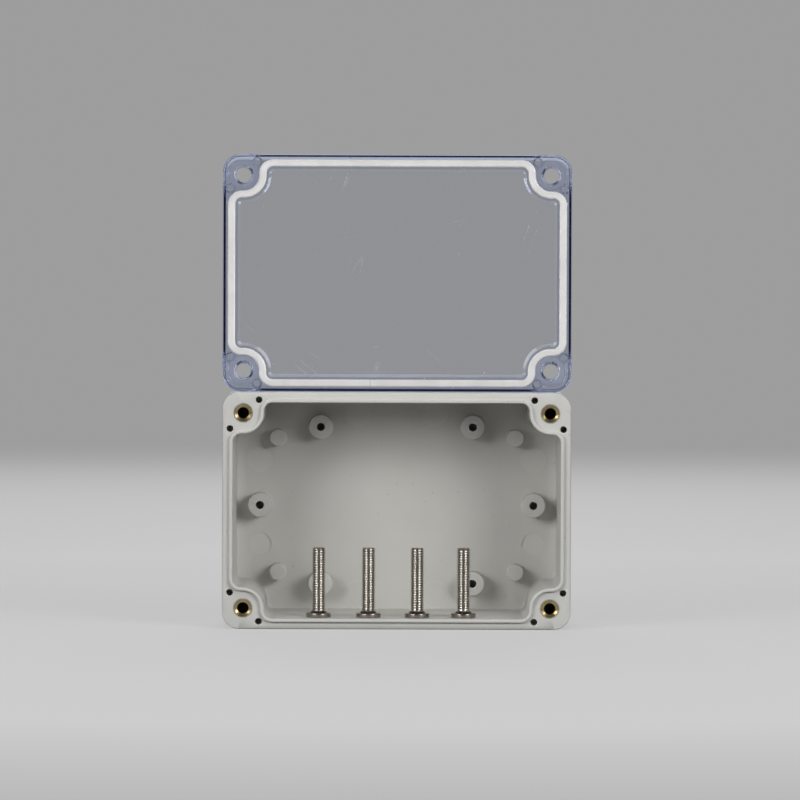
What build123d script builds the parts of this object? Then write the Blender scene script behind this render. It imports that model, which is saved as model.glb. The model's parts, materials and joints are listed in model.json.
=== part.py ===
from build123d import *
from math import atan2, cos, degrees, radians, sin, sqrt, tan
import os

# Waterproof junction box, taken apart as in the photograph. Millimetres.
# X runs to the right, Z up, and the open faces look along -Y. The base lies on
# its long side, the clear lid stands on edge on top of it, and the four lid
# screws stand on their heads inside. The origin is the middle of the footprint.

# Box outline, the same for the base and the lid
face_length = 100.0
face_height = 68.0
corner_radius = 5.0

# Fastening pattern
screw_inset = 6.0

# Seal line: the middle of the tongue and of the groove, at the joint face
seal_inset = 2.5
seal_boss_radius = 5.45
seal_fillet = 2.95

# Base
base_depth = 40.0
floor_thickness = 3.5
base_draft = 0.5
base_floor_chamfer = 0.5
base_back_fillet = 2.5
rim_edge_chamfer = 0.25
tongue_width = 1.0
tongue_height = 1.0
tongue_edge_chamfer = 0.2

# Threaded inserts and the holes they sit in
insert_diameter = 5.8
insert_length = 8.0
insert_bore = 3.3
insert_mouth_diameter = 5.0
insert_mouth_depth = 0.5
insert_clearance = 0.05
screw_runout_depth = 16.0
screw_runout_diameter = 4.3

# Locating holes beside each fastening, in the base and in the lid
locating_hole_inset = 2.2
base_locating_along = 10.5
base_locating_diameter = 1.95
base_locating_depth = 6.0
lid_locating_along = 9.8
lid_locating_diameter = 2.2
lid_locating_depth = 2.5
lid_locating_chamfer = 0.25

# Mounting studs on the base's floor
standoff_height = 6.0
standoff_diameter = 7.0
standoff_hole_diameter = 2.4
standoff_hole_depth = 7.0
standoff_corner_x = 22.1
standoff_corner_z = 22.8
standoff_middle_x = 39.8
peg_height = 5.0
peg_diameter = 4.9
peg_x = 34.5
peg_z = 19.6
stud_draft = 1.0
stud_edge_chamfer = 0.25

# Round flats that the ejector pins leave on the floor
ejector_mark_depth = 0.15
ejector_large_diameter = 7.8
ejector_small_diameter = 6.5
ejector_row_x = 11.2
ejector_row_z = 26.2
ejector_side_x = 39.8
ejector_side_rise = 12.9
ejector_side_drop = 11.6

# Blind holes in the back, under the corner bosses
back_hole_diameter = 2.8
back_hole_depth = 12.0
back_hole_chamfer = 0.5

# Lid
lid_depth = 10.0
window_thickness = 2.8
lid_rib_width = 0.6
lid_draft = 1.0
lid_floor_chamfer = 0.6
lid_outer_fillet = 2.0
lid_edge_chamfer = 0.25
lid_screw_hole_diameter = 4.3
head_recess_diameter = 8.2
head_recess_depth = 4.0
neck_seat_diameter = 5.7

# Gasket cord in the lid's groove
gasket_width = 2.05
gasket_height = 2.0
gasket_recess = 0.6
gasket_side_clearance = 0.05
gasket_edge_chamfer = 0.3
gasket_seam_x = -7.7
gasket_seam_gap = 0.15

# Lid screws
screw_diameter = 4.0
screw_length = 20.0
screw_head_diameter = 7.1
screw_head_rim = 1.2
screw_neck_diameter = 5.4
seat_angle = 90
screw_tip_chamfer = 0.5
recess_arm_width = 1.0
recess_arm_length = 4.2
recess_depth = 1.6
recess_tip_length = 2.0

# How the loose pieces stand
lid_stand_gap = 0.1
screw_rest_gap = 0.03
screw_stand_x = [-22.3, -8.0, 6.0, 19.3]
screw_stand_depth = [6.4, 6.0, 6.0, 6.2]

# Sizes that follow from the ones above
stand_offset = (tongue_height - base_depth) / 2
boss_x = face_length / 2 - screw_inset
boss_z = face_height / 2 - screw_inset
groove_width = gasket_width + 2 * gasket_side_clearance
groove_depth = gasket_height + gasket_recess
cavity_depth = base_depth - floor_thickness
lid_cavity_depth = lid_depth - window_thickness
cavity_shift = tongue_width / 2
lid_cavity_shift = groove_width / 2 + lid_rib_width

corners = [(sx, sz) for sx in (-1, 1) for sz in (-1, 1)]


def open_face_frame(middle_height):
    """Frame on an open face: its x is +X, its y is +Z and its z is -Y, out of the face."""
    return Plane(origin=(0, stand_offset, middle_height), x_dir=(1, 0, 0), z_dir=(0, -1, 0))


base_frame = open_face_frame(face_height / 2)
lid_frame = open_face_frame(face_height + lid_stand_gap + face_height / 2)


def fillet_centre():
    """Centre of the arc that eases the seal line off a wall and round a boss, from the corner."""
    rise = seal_inset + seal_fillet - screw_inset
    reach = sqrt((seal_boss_radius + seal_fillet) ** 2 - rise**2)
    return screw_inset + reach, seal_inset + seal_fillet


def corner_arcs(shift, side_x, side_z):
    """Three arcs of the seal line round one boss, moved inwards by shift."""
    centre_u, centre_v = fillet_centre()
    turn = degrees(atan2(centre_v - screw_inset, centre_u - screw_inset))
    boss_radius = seal_boss_radius + shift
    ease_radius = seal_fillet - shift

    def place(u, v):
        return (side_x * (face_length / 2 - u), side_z * (face_height / 2 - v))

    def on_boss(angle):
        u = screw_inset + boss_radius * cos(radians(angle))
        v = screw_inset + boss_radius * sin(radians(angle))
        return u, v

    def on_ease(angle):
        u = centre_u + ease_radius * cos(radians(angle))
        v = centre_v + ease_radius * sin(radians(angle))
        return u, v

    wall_angle = -90
    boss_angle = turn - 180
    ease = [on_ease(a) for a in (wall_angle, (wall_angle + boss_angle) / 2, boss_angle)]
    boss = [on_boss(a) for a in (turn, 45, 90 - turn)]
    long_wall_ease = ThreePointArc(*[place(u, v) for u, v in ease])
    boss_arc = ThreePointArc(*[place(u, v) for u, v in boss])
    short_wall_ease = ThreePointArc(*[place(v, u) for u, v in reversed(ease)])
    return long_wall_ease, boss_arc, short_wall_ease


def seal_outline(shift):
    """Face inside the seal line, moved inwards by shift."""
    centre_u = fillet_centre()[0]
    inset = seal_inset + shift
    run_x = face_length / 2 - centre_u
    run_z = face_height / 2 - centre_u
    edge_x = face_length / 2 - inset
    edge_z = face_height / 2 - inset
    edges = [arc for sx, sz in corners for arc in corner_arcs(shift, sx, sz)]
    for side in (-1, 1):
        edges.append(Line((-run_x, side * edge_z), (run_x, side * edge_z)))
        edges.append(Line((side * edge_x, -run_z), (side * edge_x, run_z)))
    return make_face(edges)


def seal_band(width, depth, start=0.0):
    """Solid that follows the seal line, from start down by depth."""
    band = seal_outline(-width / 2) - seal_outline(width / 2)
    return Pos(0, 0, start - depth) * extrude(band, amount=depth)


def cavity_core(shift, depth, draft, floor_chamfer):
    """Drafted space inside the seal line, open at the joint face, its floor edge chamfered."""
    narrowing = depth * tan(radians(draft))
    mouth = seal_outline(shift)
    floor = Pos(0, 0, -depth) * seal_outline(shift + narrowing)
    core = loft([floor, mouth], ruled=True)
    core = chamfer(core.faces().sort_by(Axis.Z)[0].edges(), floor_chamfer)
    above = extrude(mouth, amount=2 * tongue_height)
    return core + above


def shell_block(depth, back_radius, edge_size):
    """Outer form of a shell, with rounded corners and back and a broken edge at the joint face."""
    outline = RectangleRounded(face_length, face_height, corner_radius)
    block = Pos(0, 0, -depth) * extrude(outline, amount=depth)
    block = fillet(block.faces().sort_by(Axis.Z)[0].edges(), back_radius)
    return chamfer(block.faces().sort_by(Axis.Z)[-1].edges(), edge_size)


def round_hole(x, y, top, diameter, depth):
    """Cutter for a round hole that goes down from top."""
    return Pos(x, y, top - depth) * extrude(Circle(diameter / 2), amount=depth)


def turned(points):
    """Solid of revolution about Z from its half section of (radius, height) points."""
    section = make_face(Plane.XZ * Polyline(*points, close=True))
    return revolve(section, Axis.Z)


def locating_holes(along, diameter, depth, chamfer_size=0.0):
    """Two small round holes beside each fastening."""
    pairs = [(along, locating_hole_inset), (locating_hole_inset, along)]
    radius = diameter / 2
    mouth = radius + chamfer_size
    section = [(0, -depth), (radius, -depth), (radius, -chamfer_size), (mouth, 0), (0, 0)]
    if chamfer_size == 0:
        section.pop(3)
    cutter = turned(section)
    spots = [
        (sx * (face_length / 2 - u), sz * (face_height / 2 - v)) for sx, sz in corners for u, v in pairs
    ]
    return [Pos(x, y, 0) * cutter for x, y in spots]


def stud(diameter, height):
    """Drafted round stud that stands on the floor, with a broken top edge."""
    top_radius = diameter / 2
    shoulder = height - stud_edge_chamfer
    foot_radius = top_radius + shoulder * tan(radians(stud_draft))
    sunk = floor_thickness / 2
    return turned(
        [
            (0, -sunk),
            (foot_radius, -sunk),
            (foot_radius, 0),
            (top_radius, shoulder),
            (top_radius - stud_edge_chamfer, height),
            (0, height),
        ]
    )


def standoff_places():
    """Places of the six bored standoffs: four in a rectangle and two on the middle line."""
    places = [(sx * standoff_corner_x, sz * standoff_corner_z) for sx, sz in corners]
    return places + [(-standoff_middle_x, 0), (standoff_middle_x, 0)]


def ejector_marks():
    """Shallow round flats on the floor."""
    large = [(sx * ejector_row_x, sz * ejector_row_z) for sx, sz in corners]
    large += [(side * ejector_side_x, ejector_side_rise) for side in (-1, 1)]
    small = [(side * ejector_side_x, -ejector_side_drop) for side in (-1, 1)]
    floor = -cavity_depth
    sunk = 2 * ejector_mark_depth
    marks = [round_hole(x, y, floor + ejector_mark_depth, ejector_large_diameter, sunk) for x, y in large]
    marks += [round_hole(x, y, floor + ejector_mark_depth, ejector_small_diameter, sunk) for x, y in small]
    return marks


def insert_seat():
    """Stepped hole for a threaded insert, with run-out for the screw's tip."""
    wide = insert_diameter / 2 + insert_clearance
    narrow = screw_runout_diameter / 2
    bottom = -screw_runout_depth
    step = -insert_length
    return turned([(0, bottom), (narrow, bottom), (narrow, step), (wide, step), (wide, 0), (0, 0)])


def back_hole():
    """Blind hole in the back with a chamfered mouth."""
    radius = back_hole_diameter / 2
    mouth = radius + back_hole_chamfer
    back = -base_depth
    points = [
        (0, back),
        (mouth, back),
        (radius, back + back_hole_chamfer),
        (radius, back + back_hole_depth),
        (0, back + back_hole_depth),
    ]
    return turned(points)


def make_base():
    """Base tub with its sealing tongue, corner bosses, standoffs and pegs."""
    body = shell_block(base_depth, base_back_fillet, rim_edge_chamfer)
    tongue = seal_band(tongue_width, 2 * tongue_height, tongue_height)
    tongue = chamfer(tongue.faces().sort_by(Axis.Z)[-1].edges(), tongue_edge_chamfer)
    body += tongue
    body -= cavity_core(cavity_shift, cavity_depth, base_draft, base_floor_chamfer)
    body -= ejector_marks()
    floor = -cavity_depth
    body += [Pos(x, y, floor) * stud(standoff_diameter, standoff_height) for x, y in standoff_places()]
    body += [Pos(sx * peg_x, sz * peg_z, floor) * stud(peg_diameter, peg_height) for sx, sz in corners]
    top = floor + standoff_height
    body -= [
        round_hole(x, y, top, standoff_hole_diameter, standoff_hole_depth) for x, y in standoff_places()
    ]
    body -= [Pos(sx * boss_x, sz * boss_z, 0) * insert_seat() for sx, sz in corners]
    body -= [Pos(sx * boss_x, sz * boss_z, 0) * back_hole() for sx, sz in corners]
    body -= locating_holes(base_locating_along, base_locating_diameter, base_locating_depth)
    return base_frame * body


def make_insert():
    """Threaded brass insert with a chamfered mouth, face up at the origin."""
    outer = insert_diameter / 2
    bore = insert_bore / 2
    mouth = insert_mouth_diameter / 2
    bottom = -insert_length
    return turned([(mouth, 0), (outer, 0), (outer, bottom), (bore, bottom), (bore, -insert_mouth_depth)])


def lid_screw_passage():
    """Screw hole through the lid, with a recess in its outer face that seats the head and its neck."""
    back = -lid_depth
    wide = head_recess_diameter / 2
    mouth = neck_seat_diameter / 2
    narrow = lid_screw_hole_diameter / 2
    seat = back + head_recess_depth
    seat_end = seat + (mouth - narrow) / tan(radians(seat_angle / 2))
    points = [(0, back), (wide, back), (wide, seat), (mouth, seat), (narrow, seat_end), (narrow, 0), (0, 0)]
    return turned(points)


def make_lid():
    """Clear lid with the sealing groove round its cavity and recessed screw seats."""
    body = shell_block(lid_depth, lid_outer_fillet, lid_edge_chamfer)
    body -= cavity_core(lid_cavity_shift, lid_cavity_depth, lid_draft, lid_floor_chamfer)
    body -= seal_band(groove_width, groove_depth)
    body -= [Pos(sx * boss_x, sz * boss_z, 0) * lid_screw_passage() for sx, sz in corners]
    body -= locating_holes(
        lid_locating_along, lid_locating_diameter, lid_locating_depth, lid_locating_chamfer
    )
    return lid_frame * body


def make_gasket():
    """Cord gasket that fills the groove, with its two ends butted on the lower run."""
    cord = seal_band(gasket_width, gasket_height, -gasket_recess)
    cord = chamfer(cord.faces().sort_by(Axis.Z)[-1].edges(), gasket_edge_chamfer)
    seam_y = seal_inset - face_height / 2
    cut = Pos(gasket_seam_x, seam_y, -groove_depth / 2) * Box(gasket_seam_gap, groove_width, groove_depth)
    return lid_frame * (cord - cut)


def make_screw():
    """Screw with a low head and a conical neck, standing on its head at the origin."""
    head = screw_head_diameter / 2
    neck = screw_neck_diameter / 2
    shank = screw_diameter / 2
    cone_end = screw_head_rim + (neck - shank) / tan(radians(seat_angle / 2))
    body = turned(
        [
            (0, 0),
            (head, 0),
            (head, screw_head_rim),
            (neck, screw_head_rim),
            (shank, cone_end),
            (shank, screw_length - screw_tip_chamfer),
            (shank - screw_tip_chamfer, screw_length),
            (0, screw_length),
        ]
    )
    arm = Rectangle(recess_arm_length, recess_arm_width)
    tip = Pos(0, 0, recess_depth) * Rectangle(recess_tip_length, recess_arm_width / 2)
    slot = loft([arm, tip], ruled=True)
    return body - slot - Rot(0, 0, 90) * slot


def standing_screw(screw, x, depth):
    """Screw on the drafted lower wall, its head flat on the wall, depth behind the joint face."""
    wall_rise = seal_inset + cavity_shift + depth * tan(radians(base_draft))
    foot = Pos(x, stand_offset + depth, wall_rise + screw_rest_gap)
    return foot * Rot(base_draft, 0, 0) * screw


def write(name, shape):
    shape.label = name
    export_step(shape, f"parts/{name}.step")


def main():
    os.makedirs("parts", exist_ok=True)
    write("enclosure_base", make_base())
    write("clear_lid", make_lid())
    write("lid_gasket", make_gasket())
    insert = make_insert()
    for sx, sz in corners:
        name = f"insert_{'bottom' if sz < 0 else 'top'}_{'left' if sx < 0 else 'right'}"
        write(name, base_frame * Pos(sx * boss_x, sz * boss_z, 0) * insert)
    screw = make_screw()
    for number, (x, depth) in enumerate(zip(screw_stand_x, screw_stand_depth), start=1):
        write(f"lid_screw_{number}", standing_screw(screw, x, depth))


main()
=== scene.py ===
import json
from functools import reduce
from math import atan2, pi, radians, sin

import bpy
from mathutils import Matrix, Vector


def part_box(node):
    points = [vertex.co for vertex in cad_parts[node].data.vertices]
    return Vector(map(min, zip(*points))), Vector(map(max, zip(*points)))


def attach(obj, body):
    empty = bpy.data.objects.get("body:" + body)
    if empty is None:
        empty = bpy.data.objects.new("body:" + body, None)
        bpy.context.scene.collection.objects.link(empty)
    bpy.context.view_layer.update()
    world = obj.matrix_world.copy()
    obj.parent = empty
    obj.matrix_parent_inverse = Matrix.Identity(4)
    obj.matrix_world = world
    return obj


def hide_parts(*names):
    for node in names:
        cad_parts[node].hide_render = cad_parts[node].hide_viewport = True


# Waterproof junction box, opened: the base on its long side, the clear lid on
# edge on top of it and the four lid screws on their heads inside. Metres.

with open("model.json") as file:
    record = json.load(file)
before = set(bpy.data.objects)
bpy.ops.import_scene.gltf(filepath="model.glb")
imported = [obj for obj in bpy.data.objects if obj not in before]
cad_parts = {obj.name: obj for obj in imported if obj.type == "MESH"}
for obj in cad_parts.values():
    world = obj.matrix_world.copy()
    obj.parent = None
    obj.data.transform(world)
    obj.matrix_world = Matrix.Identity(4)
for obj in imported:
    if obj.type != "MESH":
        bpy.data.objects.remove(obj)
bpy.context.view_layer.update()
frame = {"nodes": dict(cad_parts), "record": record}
nodes = frame["nodes"]

MM = 0.001
MERGE_DISTANCE = 0.001 * MM
CUT_MARGIN = 0.05 * MM

# Camera, as the photograph was taken, in pixels of its 800 by 800 frame
PHOTO_SIDE_PX = 800
BASE_WIDTH_PX = 349.1
BASE_CENTRE_PX = (396.9, 511.2)
VIEW_DISTANCE = 2.034
VIEW_HEIGHT = 0.142
VIEW_ROLL = radians(0.2)
SENSOR_WIDTH = 36.0
CLIP_NEAR = 0.05
CLIP_FAR = 20.0

# Stage: a pale floor that fades into an even pale room, in metres from the object. The room's
# tone goes from its front one to its own between two Y parts of the direction of view
STAGE_SIZE = 30.0
STAGE_DROP = 0.05 * MM
FADE_START = 0.35
FADE_END = 1.2
PAPER_SHADE = 0.22
PAPER_GLOW = 0.44
ROOM_TONE = 0.34
ROOM_FRONT_TONE = 0.08
ROOM_LIGHT = 0.03
ROOM_FRONT_REACH = (-0.8, -0.2)

# Lamps: (name, place, aim, size, watts, whether gloss and glass show it)
LAMPS = [
    ("left_softbox", (-0.66, -0.78, 0.36), (0.0, -0.01, 0.05), (0.5, 0.4), 5.1, True),
    ("right_softbox", (0.66, -0.78, 0.36), (0.0, -0.01, 0.05), (0.5, 0.4), 5.35, True),
    ("top_light", (0.0, -0.22, 0.42), (0.0, -0.02, 0.08), (0.35, 0.12), 0.45, False),
    ("back_softbox", (0.0, 1.0, 0.45), (0.0, 0.02, 0.08), (0.8, 0.4), 6.0, False),
]

# Tint of the lid's plastic by depth, and the share of light its walls keep from what they shade
LID_TINT = (0.45, 0.55, 0.84)
LID_TINT_DENSITY = 60.0
LID_SHADE = 0.08

# Bores of the lid, whose walls came hazy out of the mould. The small holes lie in from its
# edges, this far along one side and inset from the other
LID_RECESS_RADIUS = 4.1 * MM
LOCATING_RADIUS = 1.35 * MM
LOCATING_ALONG = 9.8 * MM
LOCATING_INSET = 2.2 * MM

# A mask of one side of a piece fades out over this depth behind it, and a mask of edges
# compares the true normal with one rounded by this radius
SIDE_FADE = (0.3 * MM, 0.6 * MM)
EDGE_RADIUS = 0.3 * MM

# Way of the bores of the lid and of the inserts
BORE_AXIS = (0, 1, 0)

# Plainest round flats of the ejector pins on the base's floor: (x, height, radius)
FLOOR_THICKNESS = 3.5 * MM
EJECTOR_EDGE = 0.1 * MM
EJECTOR_MARKS = [
    (side * x * MM, (34.0 + rise) * MM, radius * MM)
    for side in (-1, 1)
    for x, rise, radius in ((11.2, 26.2, 3.9), (39.8, 12.9, 3.9), (39.8, -11.6, 3.25))
]

# Screw thread, coarse M4. One pitch of its profile is (height in pitches, share of the
# way from the root to the crest); its crest leans a little, as rolled ones do
THREAD_PITCH = 0.7 * MM
THREAD_RADIUS = 2.0 * MM
THREAD_ROOT_RADIUS = 1.65 * MM
THREAD_STEPS = 36
THREAD_PROFILE = [
    (-0.5, 0.0),
    (-0.35, 0.0),
    (-0.3, 0.1),
    (-0.18, 0.88),
    (-0.13, 1.0),
    (0.12, 0.92),
    (0.17, 0.8),
    (0.3, 0.1),
    (0.35, 0.0),
    (0.5, 0.0),
]

# Lid screws
SCREW_TILT = radians(0.5)
SCREW_LENGTH = 20.0 * MM
SCREW_HEAD_RIM = 1.2 * MM
SCREW_NECK_RADIUS = 2.6 * MM
SCREW_NECK_HEIGHT = 0.9 * MM
SCREW_NECK_ROUND = 0.3 * MM
SCREW_NECK_OVERLAP = 0.15 * MM
SCREW_EDGE_ROUND = 0.1 * MM
SCREW_TIP_CHAMFER = 0.35 * MM
SCREW_TURNS = [0.4, 1.9, 3.1, 5.2]
CROSS_WIDTH = 1.0 * MM
CROSS_LENGTH = 4.2 * MM
CROSS_DEPTH = 1.6 * MM
CROSS_TAPER = (0.4, 0.5, 1)

# Threaded inserts. A knurl tooth has four rim steps, two on its tip and two in its valley
KNURL_TEETH = 28
KNURL_STEPS = 4
KNURL_DEPTH = 0.4 * MM
KNURL_CHAMFER = 0.06 * MM
FILL_DEPTH = 1.0 * MM
FILL_SINK = 0.06 * MM
FILL_OVERLAP = 0.1 * MM
INSERT_BORE_RADIUS = 1.65 * MM
INSERT_MOUTH_RADIUS = 2.42 * MM
INSERT_MOUTH_DEPTH = 0.45 * MM
INSERT_WAIST_SCALE = 0.84
INSERT_WAIST_LENGTH = 1.6 * MM

# Gasket
CORD_EDGE_ROUND = 0.12 * MM

# Colours of the finishes
ABS = (0.59, 0.585, 0.56)
ABS_LOW, ABS_HIGH = (0.575, 0.57, 0.542), (0.615, 0.61, 0.582)
ABS_FLAT = (0.68, 0.68, 0.655)
# Painted shade in a ring round each ejector flat
ABS_STEP_SHADE = (0.36, 0.36, 0.33)
# Painted highlight along the base's edges
ABS_EDGE_HIGHLIGHT = (0.72, 0.72, 0.70)
ABS_DUST = (0.30, 0.29, 0.26)
CLEAR = (0.97, 0.975, 0.99)
CLEAR_DUST = (0.66, 0.66, 0.68)
CLEAR_RECESS = (0.68, 0.74, 0.92)
# Painted shade in the lid's locating holes
CLEAR_LOCATING_SHADE = (0.50, 0.54, 0.66)
CORD = (0.73, 0.72, 0.71)
CORD_LOW, CORD_HIGH = (0.70, 0.69, 0.68), (0.76, 0.75, 0.74)
CORD_DUST = (0.42, 0.39, 0.36)
BRASS = (0.34, 0.265, 0.13)
BRASS_LOW, BRASS_HIGH = (0.28, 0.215, 0.10), (0.40, 0.315, 0.16)
BRASS_TEETH = (0.11, 0.08, 0.035)
NICKEL = (0.55, 0.52, 0.475)
NICKEL_LOW, NICKEL_HIGH = (0.50, 0.47, 0.43), (0.62, 0.59, 0.545)
# Painted shade down in the screws' thread
NICKEL_VALLEY_SHADE = (0.27, 0.245, 0.21)
# Painted dark reflection on the screws' conical neck
NICKEL_NECK_DARK_REFLECTION = (0.11, 0.10, 0.08)
# Painted dark reflection on the screws' heads
NICKEL_HEAD_DARK_REFLECTION = (0.30, 0.275, 0.24)
BLACK = (0.0, 0.0, 0.0)

# Places of a colour Mix node's two colours and of its result among its sockets
MIX_COLORS = (6, 7)
MIX_RESULT = 2


def deselect_all():
    bpy.ops.object.select_all(action="DESELECT")


def make_active(obj):
    deselect_all()
    obj.select_set(True)
    bpy.context.view_layer.objects.active = obj


def added(name):
    """The object that the last operator added, under its own name."""
    obj = bpy.context.object
    obj.name = name
    obj.data.name = name
    return obj


def edit(obj):
    make_active(obj)
    bpy.ops.object.mode_set(mode="EDIT")


def leave_edit():
    bpy.ops.object.mode_set(mode="OBJECT")


def pick(obj, mode, test):
    """Selects the vertices or faces that pass the test, in edit mode."""
    bpy.ops.mesh.select_mode(type=mode)
    bpy.ops.mesh.select_all(action="DESELECT")
    bpy.ops.object.mode_set(mode="OBJECT")
    items = obj.data.vertices if mode == "VERT" else obj.data.polygons
    for item in items:
        item.select = test(item)
    bpy.ops.object.mode_set(mode="EDIT")


def apply_modifier(obj, kind, **values):
    make_active(obj)
    modifier = obj.modifiers.new(kind.lower(), kind)
    for key, value in values.items():
        setattr(modifier, key, value)
    bpy.ops.object.modifier_apply(modifier=modifier.name)


def combine(obj, other, operation):
    """Boolean of two closed meshes; the second one is used up."""
    apply_modifier(obj, "BOOLEAN", object=other, operation=operation, solver="EXACT")
    bpy.data.objects.remove(other)


def settle(obj):
    """Puts the piece's place into its mesh, so that its object sits at the origin."""
    make_active(obj)
    bpy.ops.object.transform_apply(location=True, rotation=True, scale=True)


def own_copy(source, name):
    """Copy of an object with its own mesh."""
    piece = source.copy()
    piece.data = source.data.copy()
    piece.name = name
    piece.data.name = name
    bpy.context.collection.objects.link(piece)
    return piece


def outward(obj):
    """Merges doubles and turns all faces outwards."""
    edit(obj)
    bpy.ops.mesh.select_all(action="SELECT")
    bpy.ops.mesh.remove_doubles(threshold=MERGE_DISTANCE)
    bpy.ops.mesh.normals_make_consistent(inside=False)
    leave_edit()


def smooth(obj, angle=30):
    make_active(obj)
    bpy.ops.object.shade_smooth_by_angle(angle=radians(angle))


# Shared effects, as shader node groups


def new_group(name, inputs, outputs):
    group = bpy.data.node_groups.new(name, "ShaderNodeTree")
    for socket, value in inputs:
        kind = "NodeSocketVector" if value is None else "NodeSocketFloat"
        made = group.interface.new_socket(socket, in_out="INPUT", socket_type=kind)
        if value is not None:
            made.default_value = value
    for socket in outputs:
        group.interface.new_socket(socket, in_out="OUTPUT", socket_type="NodeSocketFloat")
    start = group.nodes.new("NodeGroupInput")
    end = group.nodes.new("NodeGroupOutput")
    return group, start, end


def feed(tree, value, socket):
    """Links a socket's value, or sets a plain one."""
    if hasattr(value, "links"):
        tree.links.new(value, socket)
    else:
        socket.default_value = value


def noise(tree, vector, scale, detail=2.0, roughness=0.5, distortion=0.0):
    node = tree.nodes.new("ShaderNodeTexNoise")
    tree.links.new(vector, node.inputs["Vector"])
    feed(tree, scale, node.inputs["Scale"])
    node.inputs["Detail"].default_value = detail
    node.inputs["Roughness"].default_value = roughness
    node.inputs["Distortion"].default_value = distortion
    return node.outputs["Fac"]


def math(tree, operation, first, second=0.0, clamp=False):
    node = tree.nodes.new("ShaderNodeMath")
    node.operation = operation
    node.use_clamp = clamp
    feed(tree, first, node.inputs[0])
    feed(tree, second, node.inputs[1])
    return node.outputs[0]


def one_of(tree, operation, sockets):
    """The largest or smallest of several sockets, by MAXIMUM or MINIMUM."""
    return reduce(lambda first, second: math(tree, operation, first, second), sockets)


def vector_math(tree, operation, first, second=(0.0, 0.0, 0.0)):
    node = tree.nodes.new("ShaderNodeVectorMath")
    node.operation = operation
    feed(tree, first, node.inputs[0])
    feed(tree, second, node.inputs[1])
    return node.outputs["Value" if operation in ("DISTANCE", "LENGTH") else "Vector"]


def along_y(tree, vector):
    node = tree.nodes.new("ShaderNodeSeparateXYZ")
    tree.links.new(vector, node.inputs[0])
    return node.outputs["Y"]


def remap(tree, value, from_low, from_high, to_low=0.0, to_high=1.0, clamp=True):
    node = tree.nodes.new("ShaderNodeMapRange")
    node.clamp = clamp
    tree.links.new(value, node.inputs["Value"])
    feed(tree, from_low, node.inputs["From Min"])
    feed(tree, from_high, node.inputs["From Max"])
    node.inputs["To Min"].default_value = to_low
    node.inputs["To Max"].default_value = to_high
    return node.outputs["Result"]


def stretch(tree, vector, scale, turn=(0.0, 0.0, 0.0)):
    node = tree.nodes.new("ShaderNodeMapping")
    node.vector_type = "TEXTURE"
    tree.links.new(vector, node.inputs["Vector"])
    node.inputs["Scale"].default_value = scale
    node.inputs["Rotation"].default_value = turn
    return node.outputs["Vector"]


def moulded_grain_group():
    """Fine spark-eroded texture and a soft waviness of a moulded face."""
    inputs = [("Vector", None), ("Grain Scale", 3500.0), ("Wave Scale", 60.0)]
    group, start, end = new_group("moulded_grain", inputs, ["Grain", "Wave"])
    grain = noise(group, start.outputs["Vector"], start.outputs["Grain Scale"], 3.0, 0.6)
    wave = noise(group, start.outputs["Vector"], start.outputs["Wave Scale"], 2.0, 0.45)
    group.links.new(grain, end.inputs["Grain"])
    group.links.new(wave, end.inputs["Wave"])
    return group


def handling_group():
    """Light dust specks and finger smears."""
    inputs = [("Vector", None), ("Speck Scale", 900.0), ("Smear Scale", 45.0)]
    group, start, end = new_group("handling", inputs, ["Specks", "Smears"])
    cells = group.nodes.new("ShaderNodeTexVoronoi")
    group.links.new(start.outputs["Vector"], cells.inputs["Vector"])
    group.links.new(start.outputs["Speck Scale"], cells.inputs["Scale"])
    near = remap(group, cells.outputs["Distance"], 0.05, 0.16, 1.0, 0.0)
    where = remap(group, noise(group, start.outputs["Vector"], 220.0, 1.0), 0.56, 0.66)
    specks = math(group, "MULTIPLY", near, where)
    smears = noise(group, start.outputs["Vector"], start.outputs["Smear Scale"], 4.0, 0.6, 0.8)
    group.links.new(specks, end.inputs["Specks"])
    group.links.new(remap(group, smears, 0.4, 0.7), end.inputs["Smears"])
    return group


def hair_scratches_group():
    """Sparse hairline scratches in three directions: contour lines of long stretched noise."""
    group, start, end = new_group(
        "hair_scratches", [("Vector", None), ("Amount", 0.5)], ["Scratches"]
    )
    drawn = []
    for turn, scale in ((0.35, 260.0), (-0.9, 210.0), (1.35, 240.0)):
        long = stretch(group, start.outputs["Vector"], (1.0, 1.0, 22.0), (0.0, turn, 0.0))
        level = math(group, "SUBTRACT", noise(group, long, scale, 0.0), 0.5)
        line = remap(group, math(group, "ABSOLUTE", level), 0.003, 0.012, 1.0, 0.0)
        patches = noise(group, start.outputs["Vector"], scale * 0.35, 1.0)
        drawn.append(math(group, "MULTIPLY", line, remap(group, patches, 0.62, 0.72)))
    total = one_of(group, "MAXIMUM", drawn)
    out = math(group, "MULTIPLY", total, start.outputs["Amount"])
    group.links.new(out, end.inputs["Scratches"])
    return group


def ejector_marks_group():
    """Masks of the ejector pins' round flats and of a painted shade ring around each, on the
    floor's inner side only.
    """
    group, start, end = new_group(
        "ejector_marks", [("Vector", None), ("Edge", EJECTOR_EDGE)], ["Face", "Step Shade"]
    )
    floor_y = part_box("enclosure_base")[1].y - FLOOR_THICKNESS
    faces, step_shades = [], []
    for x, z, radius in EJECTOR_MARKS:
        away = vector_math(group, "DISTANCE", start.outputs["Vector"], (x, floor_y, z))
        beyond = math(group, "SUBTRACT", away, radius)
        beyond = math(group, "DIVIDE", beyond, start.outputs["Edge"])
        faces.append(remap(group, beyond, 1.0, -1.0))
        # Painted shade ring along the edge of each flat
        step_shades.append(remap(group, math(group, "ABSOLUTE", beyond), 0.0, 2.0, 1.0, 0.0))
    depth = along_y(group, start.outputs["Vector"])
    inner = remap(group, depth, floor_y + SIDE_FADE[0], floor_y + SIDE_FADE[1], 1.0, 0.0)
    for socket, masks in (("Face", faces), ("Step Shade", step_shades)):
        mask = math(group, "MULTIPLY", one_of(group, "MAXIMUM", masks), inner)
        group.links.new(mask, end.inputs[socket])
    return group


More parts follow.
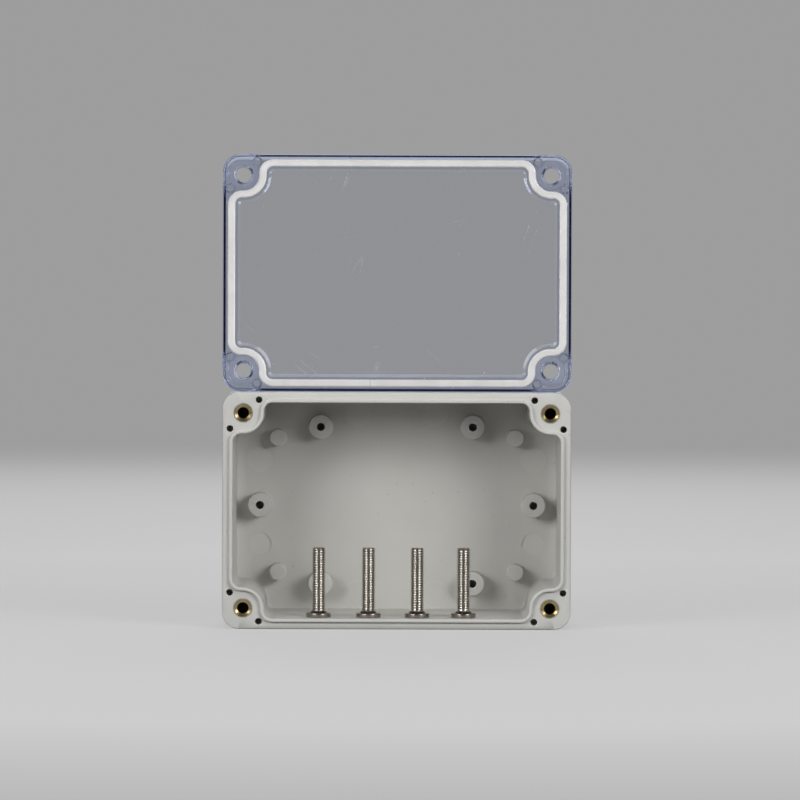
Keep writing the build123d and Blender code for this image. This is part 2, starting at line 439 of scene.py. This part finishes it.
def edge_highlight_group():
    """Mask of convex and concave edges for a painted highlight, from a rounded normal against the
    true one.
    """
    group, start, end = new_group("edge_highlight", [("Low", 0.02), ("High", 0.25)], ["Edge"])
    rounded = group.nodes.new("ShaderNodeBevel")
    rounded.samples = 4
    rounded.inputs["Radius"].default_value = EDGE_RADIUS
    true = group.nodes.new("ShaderNodeNewGeometry")
    bent = vector_math(group, "DISTANCE", rounded.outputs["Normal"], true.outputs["Normal"])
    edge = remap(group, bent, start.outputs["Low"], start.outputs["High"])
    group.links.new(edge, end.inputs["Edge"])
    return group


def axis_radius_group(name, axes, inner, outer):
    """Distance from the nearest of some axes: 0 at the inner radius, 1 at the outer one."""
    group, start, end = new_group(name, [("Vector", None)], ["Rise"])
    radii = []
    for foot, direction in axes:
        away = vector_math(group, "SUBTRACT", start.outputs["Vector"], foot)
        away = vector_math(group, "CROSS_PRODUCT", away, direction)
        radii.append(vector_math(group, "LENGTH", away))
    nearest = one_of(group, "MINIMUM", radii)
    group.links.new(remap(group, nearest, inner, outer, clamp=False), end.inputs["Rise"])
    return group


def screw_feet():
    """(node name, middle of the head's underside) of each lid screw, as it stands."""
    for number in range(1, len(SCREW_TURNS) + 1):
        node = f"lid_screw_{number}"
        low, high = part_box(node)
        foot_lift = (high.x - low.x) / 2 * sin(SCREW_TILT)
        yield node, Vector(((low.x + high.x) / 2, (low.y + high.y) / 2, low.z + foot_lift))


def insert_corners():
    """(corner name, middle of the insert's face) of the four inserts."""
    for corner in ("top_left", "top_right", "bottom_left", "bottom_right"):
        low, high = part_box("insert_" + corner)
        yield corner, Vector(((low.x + high.x) / 2, low.y, (low.z + high.z) / 2))


def insert_size():
    """Outer radius and length of an insert."""
    low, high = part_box("insert_top_left")
    return (high.x - low.x) / 2, high.y - low.y


def thread_relief_group():
    """How far out a point lies on a screw's thread: 0 at the root, 1 at the crest."""
    upright = Matrix.Rotation(SCREW_TILT, 3, "X") @ Vector((0, 0, 1))
    axes = [(foot, upright) for node, foot in screw_feet()]
    return axis_radius_group("thread_relief", axes, THREAD_ROOT_RADIUS, THREAD_RADIUS)


def insert_rim_group():
    """How far out a point lies on an insert's face: 0 at the mouth, 1 at the teeth's tips."""
    axes = [(face, BORE_AXIS) for corner, face in insert_corners()]
    return axis_radius_group("insert_rim", axes, INSERT_MOUTH_RADIUS, insert_size()[0])


def lid_bores_group():
    """Masks of the lid's screw recesses, behind its open side, and of its locating holes' walls."""
    group, start, end = new_group("lid_bores", [("Vector", None)], ["Recess", "Locating"])
    low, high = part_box("clear_lid")
    mounts = {mount["name"]: mount for mount in frame["record"]["mounts"]}
    pattern = mounts["lid_screw_holes"]
    across = pattern["dims"]["spacing_x_mm"] / 2 * MM
    up = pattern["dims"]["spacing_y_mm"] / 2 * MM
    middle = Vector(pattern["pos_m"])
    screws = [
        (middle + Vector((x, 0, z)), BORE_AXIS) for x in (-across, across) for z in (-up, up)
    ]
    steps = ((LOCATING_ALONG, LOCATING_INSET), (LOCATING_INSET, LOCATING_ALONG))
    pins = [
        (Vector((x, low.y, z)), BORE_AXIS)
        for in_x, in_z in steps
        for x in (low.x + in_x, high.x - in_x)
        for z in (low.z + in_z, high.z - in_z)
    ]

    def rise(name, axes, radius):
        node = group.nodes.new("ShaderNodeGroup")
        node.node_tree = axis_radius_group(name, axes, 0.0, radius)
        group.links.new(start.outputs["Vector"], node.inputs["Vector"])
        return node.outputs["Rise"]

    def masked(socket, share, gate):
        """The inside of the bores, where the gate is open too."""
        inside = remap(group, share, 1.05, 1.1, 1.0, 0.0)
        group.links.new(math(group, "MULTIPLY", inside, gate), end.inputs[socket])

    depth = along_y(group, start.outputs["Vector"])
    behind = remap(group, depth, middle.y + SIDE_FADE[0], middle.y + SIDE_FADE[1])
    masked("Recess", rise("from_recess", screws, LID_RECESS_RADIUS), behind)
    wall = rise("from_locating", pins, LOCATING_RADIUS)
    masked("Locating", wall, remap(group, wall, 0.6, 0.75))
    return group


GRAIN = moulded_grain_group()
HANDLING = handling_group()
SCRATCHES = hair_scratches_group()
EDGE_HIGHLIGHTS = edge_highlight_group()
EJECTORS = ejector_marks_group()
THREAD_RELIEF = thread_relief_group()
INSERT_RIM = insert_rim_group()
LID_BORES = lid_bores_group()


class Finish:
    """A material with one shader, its object coordinates and ways to link the shared effects."""

    def __init__(self, name, color, roughness, **values):
        self.material = bpy.data.materials.new(name)
        self.material.use_nodes = True
        self.tree = self.material.node_tree
        self.shader = self.tree.nodes["Principled BSDF"]
        self.shader.inputs["Base Color"].default_value = (*color, 1.0)
        self.shader.inputs["Roughness"].default_value = roughness
        for key, value in values.items():
            self.shader.inputs[key.replace("_", " ")].default_value = value
        self.place = self.tree.nodes.new("ShaderNodeTexCoord").outputs["Object"]

    def group(self, group, **values):
        node = self.tree.nodes.new("ShaderNodeGroup")
        node.node_tree = group
        for key, value in values.items():
            node.inputs[key.replace("_", " ")].default_value = value
        if "Vector" in node.inputs:
            self.tree.links.new(self.place, node.inputs["Vector"])
        return node.outputs

    def blend(self, mask, first, second):
        """Colour between two, by a mask; either may be a socket."""
        node = self.tree.nodes.new("ShaderNodeMix")
        node.data_type = "RGBA"
        node.clamp_factor = True
        self.tree.links.new(mask, node.inputs["Factor"])
        for place, value in zip(MIX_COLORS, (first, second)):
            color = value if hasattr(value, "links") else (*value, 1.0)
            feed(self.tree, color, node.inputs[place])
        return node.outputs[MIX_RESULT]

    def color(self, socket):
        self.tree.links.new(socket, self.shader.inputs["Base Color"])

    def roughness(self, socket):
        self.tree.links.new(socket, self.shader.inputs["Roughness"])

    def relief(self, *layers):
        """Bumps of (height socket, depth in metres, strength), laid over one another."""
        normal = None
        for height, depth, strength in layers:
            bump = self.tree.nodes.new("ShaderNodeBump")
            bump.inputs["Distance"].default_value = depth
            bump.inputs["Strength"].default_value = strength
            self.tree.links.new(height, bump.inputs["Height"])
            if normal is not None:
                self.tree.links.new(normal, bump.inputs["Normal"])
            normal = bump.outputs["Normal"]
        self.tree.links.new(normal, self.shader.inputs["Normal"])


def warm_grey_abs():
    """Light warm grey moulded plastic of the base."""
    finish = Finish("warm_grey_abs", ABS, 0.56)
    tree = finish.tree
    grain = finish.group(GRAIN, Grain_Scale=4200.0, Wave_Scale=55.0)
    marks = finish.group(HANDLING, Speck_Scale=420.0, Smear_Scale=38.0)
    pins = finish.group(EJECTORS, Edge=EJECTOR_EDGE)
    edge = finish.group(EDGE_HIGHLIGHTS)["Edge"]
    body = finish.blend(remap(tree, grain["Wave"], 0.3, 0.7), ABS_LOW, ABS_HIGH)
    for mask, share, color in (
        (pins["Face"], 0.3, ABS_FLAT),
        # Painted shade ring round each ejector flat
        (pins["Step Shade"], 0.4, ABS_STEP_SHADE),
        # Painted highlight along the base's edges
        (edge, 0.5, ABS_EDGE_HIGHLIGHT),
        (marks["Specks"], 0.4, ABS_DUST),
    ):
        body = finish.blend(math(tree, "MULTIPLY", mask, share), body, color)
    finish.color(body)
    dull = remap(tree, grain["Grain"], 0.3, 0.7, 0.52, 0.64)
    smears = math(tree, "MULTIPLY", marks["Smears"], 0.06)
    finish.roughness(math(tree, "SUBTRACT", dull, smears))
    finish.relief((grain["Wave"], 0.05 * MM, 0.25), (grain["Grain"], 0.01 * MM, 0.5))
    return finish.material


def clear_polycarbonate():
    """Clear plastic of the lid, bluish where it is thick, with a few hairlines and dust."""
    finish = Finish("clear_polycarbonate", CLEAR, 0.03, IOR=1.585, Transmission_Weight=1.0)
    tree = finish.tree
    marks = finish.group(HANDLING, Speck_Scale=420.0, Smear_Scale=30.0)
    scratches = finish.group(SCRATCHES, Amount=1.0)["Scratches"]
    bores = finish.group(LID_BORES)
    body = finish.blend(math(tree, "MULTIPLY", marks["Specks"], 0.5), CLEAR, CLEAR_DUST)
    body = finish.blend(bores["Recess"], body, CLEAR_RECESS)
    # Painted shade in the locating holes
    finish.color(finish.blend(bores["Locating"], body, CLEAR_LOCATING_SHADE))
    dull = math(tree, "MULTIPLY", marks["Smears"], 0.03)
    for mask, share in (
        (scratches, 0.35),
        (marks["Specks"], 0.4),
        (bores["Recess"], 0.3),
        (bores["Locating"], 0.3),
    ):
        dull = math(tree, "ADD", dull, math(tree, "MULTIPLY", mask, share))
    finish.roughness(math(tree, "ADD", dull, 0.015, clamp=True))
    finish.relief((scratches, -0.01 * MM, 0.4))
    tint = tree.nodes.new("ShaderNodeVolumeAbsorption")
    tint.inputs["Color"].default_value = (*LID_TINT, 1.0)
    tint.inputs["Density"].default_value = LID_TINT_DENSITY
    tree.links.new(tint.outputs["Volume"], tree.nodes["Material Output"].inputs["Volume"])
    shade = tree.nodes.new("ShaderNodeLightPath").outputs["Is Shadow Ray"]
    held = remap(tree, shade, 0.0, 1.0, 1.0, LID_SHADE)
    tree.links.new(held, finish.shader.inputs["Alpha"])
    return finish.material


def white_silicone():
    """Soft white cord of the gasket."""
    finish = Finish("white_silicone", CORD, 0.6)
    tree = finish.tree
    grain = finish.group(GRAIN, Grain_Scale=2600.0, Wave_Scale=240.0)
    marks = finish.group(HANDLING, Speck_Scale=700.0, Smear_Scale=90.0)
    body = finish.blend(remap(tree, grain["Wave"], 0.35, 0.65), CORD_LOW, CORD_HIGH)
    dust = math(tree, "MULTIPLY", marks["Specks"], 0.35)
    finish.color(finish.blend(dust, body, CORD_DUST))
    finish.roughness(remap(tree, marks["Smears"], 0.0, 1.0, 0.52, 0.66))
    finish.relief((grain["Wave"], 0.08 * MM, 0.5), (grain["Grain"], 0.01 * MM, 0.5))
    return finish.material


def turned_brass():
    """Brass of the threaded inserts, lighter at the mouth and darker towards the teeth."""
    finish = Finish("turned_brass", BRASS, 0.24, Metallic=1.0)
    tree = finish.tree
    grain = finish.group(GRAIN, Grain_Scale=5200.0, Wave_Scale=600.0)
    rim = finish.group(INSERT_RIM)["Rise"]
    body = finish.blend(remap(tree, grain["Wave"], 0.35, 0.65), BRASS_LOW, BRASS_HIGH)
    finish.color(finish.blend(remap(tree, rim, 0.1, 0.6, 0.0, 0.9), body, BRASS_TEETH))
    finish.roughness(remap(tree, grain["Grain"], 0.3, 0.7, 0.18, 0.32))
    finish.relief((grain["Grain"], 0.01 * MM, 0.4))
    return finish.material


def nickel_plate():
    """Bright plating of the lid screws, with painted shade down in the thread and a painted dark
    reflection on the neck and on the head.
    """
    finish = Finish("nickel_plate", NICKEL, 0.22, Metallic=1.0)
    tree = finish.tree
    grain = finish.group(GRAIN, Grain_Scale=4000.0, Wave_Scale=420.0)
    scratches = finish.group(SCRATCHES, Amount=0.6)["Scratches"]
    rise = finish.group(THREAD_RELIEF)["Rise"]
    body = finish.blend(remap(tree, grain["Wave"], 0.35, 0.65), NICKEL_LOW, NICKEL_HIGH)
    # Painted shade down in the thread's valleys
    body = finish.blend(remap(tree, rise, 0.1, 0.6), NICKEL_VALLEY_SHADE, body)
    # Painted dark reflection on the conical neck
    body = finish.blend(remap(tree, rise, 1.1, 1.3), body, NICKEL_NECK_DARK_REFLECTION)
    # Painted dark reflection on the head
    finish.color(finish.blend(remap(tree, rise, 2.6, 3.0), body, NICKEL_HEAD_DARK_REFLECTION))
    dull = remap(tree, grain["Grain"], 0.3, 0.7, 0.18, 0.28)
    finish.roughness(math(tree, "ADD", dull, math(tree, "MULTIPLY", scratches, 0.15)))
    finish.relief((grain["Grain"], 0.008 * MM, 0.3))
    return finish.material


def dress(obj, material):
    obj.data.materials.clear()
    obj.data.materials.append(material)


# Threads


def thread_bar(name, outer, root, length, start=0.0):
    """Closed bar with a helical thread, along +Z from start, cut flat at both ends."""
    turns = int(length / THREAD_PITCH) + 3
    steps = len(THREAD_PROFILE) - 1
    deselect_all()
    bpy.ops.mesh.primitive_grid_add(
        x_subdivisions=1, y_subdivisions=steps, size=THREAD_PITCH, rotation=(pi / 2, 0, 0)
    )
    bar = added(name)
    settle(bar)
    edit(bar)
    pick(bar, "VERT", lambda v: v.co.x > 0)
    bpy.ops.mesh.delete(type="VERT")
    for step, (height, share) in enumerate(THREAD_PROFILE):
        level = (step / steps - 0.5) * THREAD_PITCH
        pick(bar, "VERT", lambda v: v.co.x < 0 and abs(v.co.z - level) < THREAD_PITCH / 100)
        reach = root + share * (outer - root) + THREAD_PITCH / 2
        bpy.ops.transform.translate(value=(reach, 0, height * THREAD_PITCH - level))
    leave_edit()
    apply_modifier(
        bar,
        "SCREW",
        axis="Z",
        angle=2 * pi,
        screw_offset=THREAD_PITCH,
        iterations=turns,
        steps=THREAD_STEPS,
        render_steps=THREAD_STEPS,
        use_merge_vertices=True,
        merge_threshold=MERGE_DISTANCE,
    )
    bar.location.z = start - THREAD_PITCH * 1.5
    settle(bar)
    edit(bar)
    for height, side in ((start, -1), (start + length, 1)):
        bpy.ops.mesh.select_all(action="SELECT")
        bpy.ops.mesh.bisect(
            plane_co=(0, 0, height),
            plane_no=(0, 0, side),
            use_fill=True,
            clear_outer=True,
            threshold=MERGE_DISTANCE,
        )
    leave_edit()
    outward(bar)
    return bar


def cylinder(name, radius, depth, middle, vertices=64):
    """Plain round bar about Z."""
    deselect_all()
    bpy.ops.mesh.primitive_cylinder_add(
        vertices=vertices, radius=radius, depth=depth, location=(0, 0, middle)
    )
    bar = added(name)
    settle(bar)
    return bar


def grow_top(height, scale=1.0):
    """Extrudes the selected top face upwards and then scales it."""
    bpy.ops.mesh.extrude_region_move(TRANSFORM_OT_translate={"value": (0, 0, height)})
    if scale != 1.0:
        bpy.ops.transform.resize(value=(scale, scale, 1))


# Lid screws


def pick_top(obj):
    """Selects the faces that look up, in edit mode."""
    pick(obj, "FACE", lambda f: f.normal.z > 0.9)


def cross_recess_cutter():
    """Tapered cross that cuts the driver recess into a head whose face is at the origin."""
    arms = []
    for turn in (0, pi / 2):
        deselect_all()
        bpy.ops.mesh.primitive_cube_add(size=1, location=(0, 0, CROSS_DEPTH / 2 - CUT_MARGIN))
        arm = added("cross_arm")
        arm.scale = (CROSS_LENGTH, CROSS_WIDTH, CROSS_DEPTH + 2 * CUT_MARGIN)
        settle(arm)
        edit(arm)
        pick_top(arm)
        bpy.ops.transform.resize(value=CROSS_TAPER)
        leave_edit()
        arm.rotation_euler.z = turn
        settle(arm)
        arms.append(arm)
    combine(arms[0], arms[1], "UNION")
    return arms[0]


def make_screw():
    """Screw with a low head, a conical neck and a rolled thread, on its head at the origin."""
    low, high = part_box("lid_screw_1")
    head_radius = (high.x - low.x) / 2
    neck = SCREW_HEAD_RIM + SCREW_NECK_HEIGHT
    screw = cylinder("lid_screw", head_radius, SCREW_HEAD_RIM, SCREW_HEAD_RIM / 2)
    edit(screw)
    pick_top(screw)
    grow_top(0, SCREW_NECK_RADIUS / head_radius)
    grow_top(SCREW_NECK_HEIGHT, (THREAD_ROOT_RADIUS + SCREW_NECK_OVERLAP) / SCREW_NECK_RADIUS)
    grow_top(SCREW_NECK_ROUND)
    leave_edit()
    apply_modifier(screw, "BEVEL", width=SCREW_EDGE_ROUND, segments=3, angle_limit=radians(35))
    thread = thread_bar("thread", THREAD_RADIUS, THREAD_ROOT_RADIUS, SCREW_LENGTH - neck, neck)
    tip_height = SCREW_LENGTH - SCREW_TIP_CHAMFER
    envelope = cylinder("envelope", THREAD_RADIUS + CUT_MARGIN, tip_height, tip_height / 2)
    edit(envelope)
    pick_top(envelope)
    grow_top(SCREW_TIP_CHAMFER, 1 - SCREW_TIP_CHAMFER / THREAD_RADIUS)
    leave_edit()
    combine(thread, envelope, "INTERSECT")
    combine(screw, thread, "UNION")
    combine(screw, cross_recess_cutter(), "DIFFERENCE")
    return screw


def stand_screws(material):
    """The four lid screws on the base's lower wall, each turned a little differently."""
    pattern = make_screw()
    for (node, foot), turn in zip(screw_feet(), SCREW_TURNS):
        screw = own_copy(pattern, "threaded_" + node)
        stood = Matrix.Translation(foot) @ Matrix.Rotation(SCREW_TILT, 4, "X")
        screw.matrix_world = stood @ Matrix.Rotation(turn, 4, "Z")
        settle(screw)
        finish_piece(screw, node, node.replace("lid_", ""), material, 50)
    bpy.data.objects.remove(pattern)


# Threaded inserts


def tooth_step(place):
    """Which of the steps of its tooth a rim vertex is on."""
    return round(atan2(place.x, place.y) / (2 * pi) * KNURL_STEPS * KNURL_TEETH) % KNURL_STEPS


def toothed_bar(name, radius, depth, middle):
    """Bar with straight knurl teeth, about Z, left in edit mode."""
    bar = cylinder(name, radius, depth, middle, KNURL_STEPS * KNURL_TEETH)
    edit(bar)
    pick(bar, "VERT", lambda v: tooth_step(v.co) >= KNURL_STEPS / 2)
    valley = 1 - KNURL_DEPTH / radius
    bpy.ops.transform.resize(value=(valley, valley, 1))
    return bar


def make_insert():
    """Knurled insert with an internal thread, its face up at the origin."""
    outer, length = insert_size()
    band = (length - INSERT_WAIST_LENGTH) / 2
    insert = toothed_bar("insert", outer, band, band / 2 - length)
    pick_top(insert)
    grow_top(0, INSERT_WAIST_SCALE)
    grow_top(INSERT_WAIST_LENGTH)
    grow_top(0, 1 / INSERT_WAIST_SCALE)
    grow_top(band - KNURL_CHAMFER)
    grow_top(KNURL_CHAMFER, 1 - KNURL_CHAMFER / outer)
    leave_edit()
    mouth = cylinder(
        "mouth", INSERT_BORE_RADIUS, 2 * CUT_MARGIN, -INSERT_MOUTH_DEPTH - CUT_MARGIN
    )
    edit(mouth)
    pick_top(mouth)
    grow_top(INSERT_MOUTH_DEPTH, INSERT_MOUTH_RADIUS / INSERT_BORE_RADIUS)
    grow_top(2 * CUT_MARGIN)
    leave_edit()
    bore = thread_bar("bore", THREAD_RADIUS, INSERT_BORE_RADIUS, length + MM, -length - MM / 2)
    combine(insert, bore, "DIFFERENCE")
    combine(insert, mouth, "DIFFERENCE")
    outward(insert)
    return insert


def copy_to(pattern, name, place):
    """Copy of a pattern at a place, its +Z turned out of the open face."""
    piece = own_copy(pattern, name)
    piece.location = place
    piece.rotation_euler.x = pi / 2
    settle(piece)
    return piece


def seat_inserts(material):
    """The four inserts in the corners of the base, level with its open face."""
    pattern = make_insert()
    for corner, face in insert_corners():
        insert = copy_to(pattern, "knurled_insert_" + corner, face)
        finish_piece(insert, "insert_" + corner, "base", material, 30)
    bpy.data.objects.remove(pattern)


def fill_knurls(base):
    """Plastic that pressing in the inserts left between their teeth, a little below the face."""
    outer = insert_size()[0]
    middle = -FILL_SINK - FILL_DEPTH / 2
    ring = cylinder("ring", outer + FILL_OVERLAP, FILL_DEPTH, middle)
    teeth = toothed_bar("teeth", outer, 2 * FILL_DEPTH, middle)
    leave_edit()
    combine(ring, teeth, "DIFFERENCE")
    for corner, face in insert_corners():
        combine(base, copy_to(ring, "fill_" + corner, face), "UNION")
    bpy.data.objects.remove(ring)


# Moulded pieces, finished over the frame's own solids


def merged_copy(node, name):
    """A copy of a CAD node's mesh with its triangles joined."""
    source = nodes[node]
    piece = own_copy(source, name)
    piece.parent = None
    piece.matrix_world = source.matrix_world
    settle(piece)
    bpy.ops.mesh.customdata_custom_splitnormals_clear()
    outward(piece)
    return piece


def finish_piece(piece, node, body, material, angle, soft=False):
    """Smooths and dresses a finished piece and puts it in its node's place."""
    smooth(piece, angle)
    if soft:
        apply_modifier(
            piece, "WEIGHTED_NORMAL", mode="FACE_AREA_WITH_ANGLE", weight=80, keep_sharp=True
        )
    dress(piece, material)
    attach(piece, body)
    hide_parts(node)


def mould_base(material):
    base = merged_copy("enclosure_base", "moulded_base")
    fill_knurls(base)
    finish_piece(base, "enclosure_base", "base", material, 50, soft=True)


def mould_lid(material):
    lid = merged_copy("clear_lid", "moulded_lid")
    finish_piece(lid, "clear_lid", "lid", material, 30)


def lay_gasket(material):
    gasket = merged_copy("lid_gasket", "cord_gasket")
    apply_modifier(gasket, "BEVEL", width=CORD_EDGE_ROUND, segments=3, angle_limit=radians(30))
    finish_piece(gasket, "lid_gasket", "lid", material, 40)


# Stage, light and camera


def studio_floor():
    """Plain pale floor under the object."""
    deselect_all()
    bpy.ops.mesh.primitive_plane_add(size=STAGE_SIZE, location=(0, 0, -STAGE_DROP))
    floor = added("studio_floor")
    settle(floor)
    dress(floor, studio_paper())


def seen_directly(tree):
    """1 for what the camera, a reflection or glass sees, 0 for the light that falls on things."""
    rays = tree.nodes.new("ShaderNodeLightPath").outputs
    seen = math(tree, "MAXIMUM", rays["Is Camera Ray"], rays["Is Glossy Ray"])
    return math(tree, "MAXIMUM", seen, rays["Is Transmission Ray"])


def room_tone(tree, direction):
    """The room as it is seen: pale behind the object and darker where the photographer stood."""
    depth = along_y(tree, direction)
    return remap(tree, depth, *ROOM_FRONT_REACH, ROOM_FRONT_TONE, ROOM_TONE)


def studio_paper():
    """Pale paper that takes shadows near the object and fades into the room's tone."""
    paper = Finish("studio_paper", (PAPER_SHADE,) * 3, 0.9)
    tree = paper.tree
    paper.shader.inputs["Specular IOR Level"].default_value = 0.0
    far = vector_math(tree, "LENGTH", paper.place)
    fade = remap(tree, far, FADE_START, FADE_END)
    paper.color(paper.blend(fade, (PAPER_SHADE,) * 3, BLACK))
    outward_way = vector_math(tree, "NORMALIZE", paper.place)
    glow = paper.blend(fade, (PAPER_GLOW,) * 3, room_tone(tree, outward_way))
    tree.links.new(glow, paper.shader.inputs["Emission Color"])
    tree.links.new(seen_directly(tree), paper.shader.inputs["Emission Strength"])
    return paper.material


def lamp(name, place, aim, size, power, shown):
    bpy.ops.object.light_add(type="AREA", location=place)
    light = bpy.context.object
    light.name = name
    light.data.shape = "RECTANGLE"
    light.data.size, light.data.size_y = size
    light.data.energy = power
    light.visible_glossy = shown
    light.visible_transmission = shown
    light.rotation_euler = (Vector(aim) - Vector(place)).to_track_quat("-Z", "Y").to_euler()


def studio_light():
    """Two broad soft lamps in front, a weak one above, one behind and an even pale room."""
    world = bpy.data.worlds.new("studio_room")
    world.use_nodes = True
    tree = world.node_tree
    room = tree.nodes["Background"]
    room.inputs["Color"].default_value = (1.0, 1.0, 1.0, 1.0)
    way = tree.nodes.new("ShaderNodeTexCoord").outputs["Generated"]
    seen = seen_directly(tree)
    shown = math(tree, "MULTIPLY", seen, room_tone(tree, way))
    given = remap(tree, seen, 0.0, 1.0, ROOM_LIGHT, 0.0)
    tree.links.new(math(tree, "ADD", shown, given), room.inputs["Strength"])
    bpy.context.scene.world = world
    for values in LAMPS:
        lamp(*values)


def photo_camera():
    """Camera where the photograph was taken from, with the base where it stands in it."""
    low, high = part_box("enclosure_base")
    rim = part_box("insert_top_left")[0].y
    scale = BASE_WIDTH_PX / (high.x - low.x)
    middle = PHOTO_SIDE_PX / 2
    aim_x = (low.x + high.x) / 2 + (middle - BASE_CENTRE_PX[0]) / scale
    aim_z = (low.z + high.z) / 2 + (BASE_CENTRE_PX[1] - middle) / scale
    aim = Vector((aim_x, rim, aim_z))
    place = Vector((aim_x, rim - VIEW_DISTANCE, VIEW_HEIGHT))
    bpy.ops.object.camera_add(location=place)
    camera = bpy.context.object
    camera.name = "photo_camera"
    turn = (aim - place).to_track_quat("-Z", "Y").to_matrix().to_4x4()
    camera.rotation_euler = (turn @ Matrix.Rotation(VIEW_ROLL, 4, "Z")).to_euler()
    camera.data.sensor_width = SENSOR_WIDTH
    camera.data.lens = SENSOR_WIDTH * (aim - place).length * scale / PHOTO_SIDE_PX
    camera.data.clip_start = CLIP_NEAR
    camera.data.clip_end = CLIP_FAR
    bpy.context.scene.camera = camera


mould_base(warm_grey_abs())
mould_lid(clear_polycarbonate())
lay_gasket(white_silicone())
seat_inserts(turned_brass())
stand_screws(nickel_plate())
studio_floor()
studio_light()
photo_camera()
bpy.context.scene.view_settings.view_transform = "Standard"
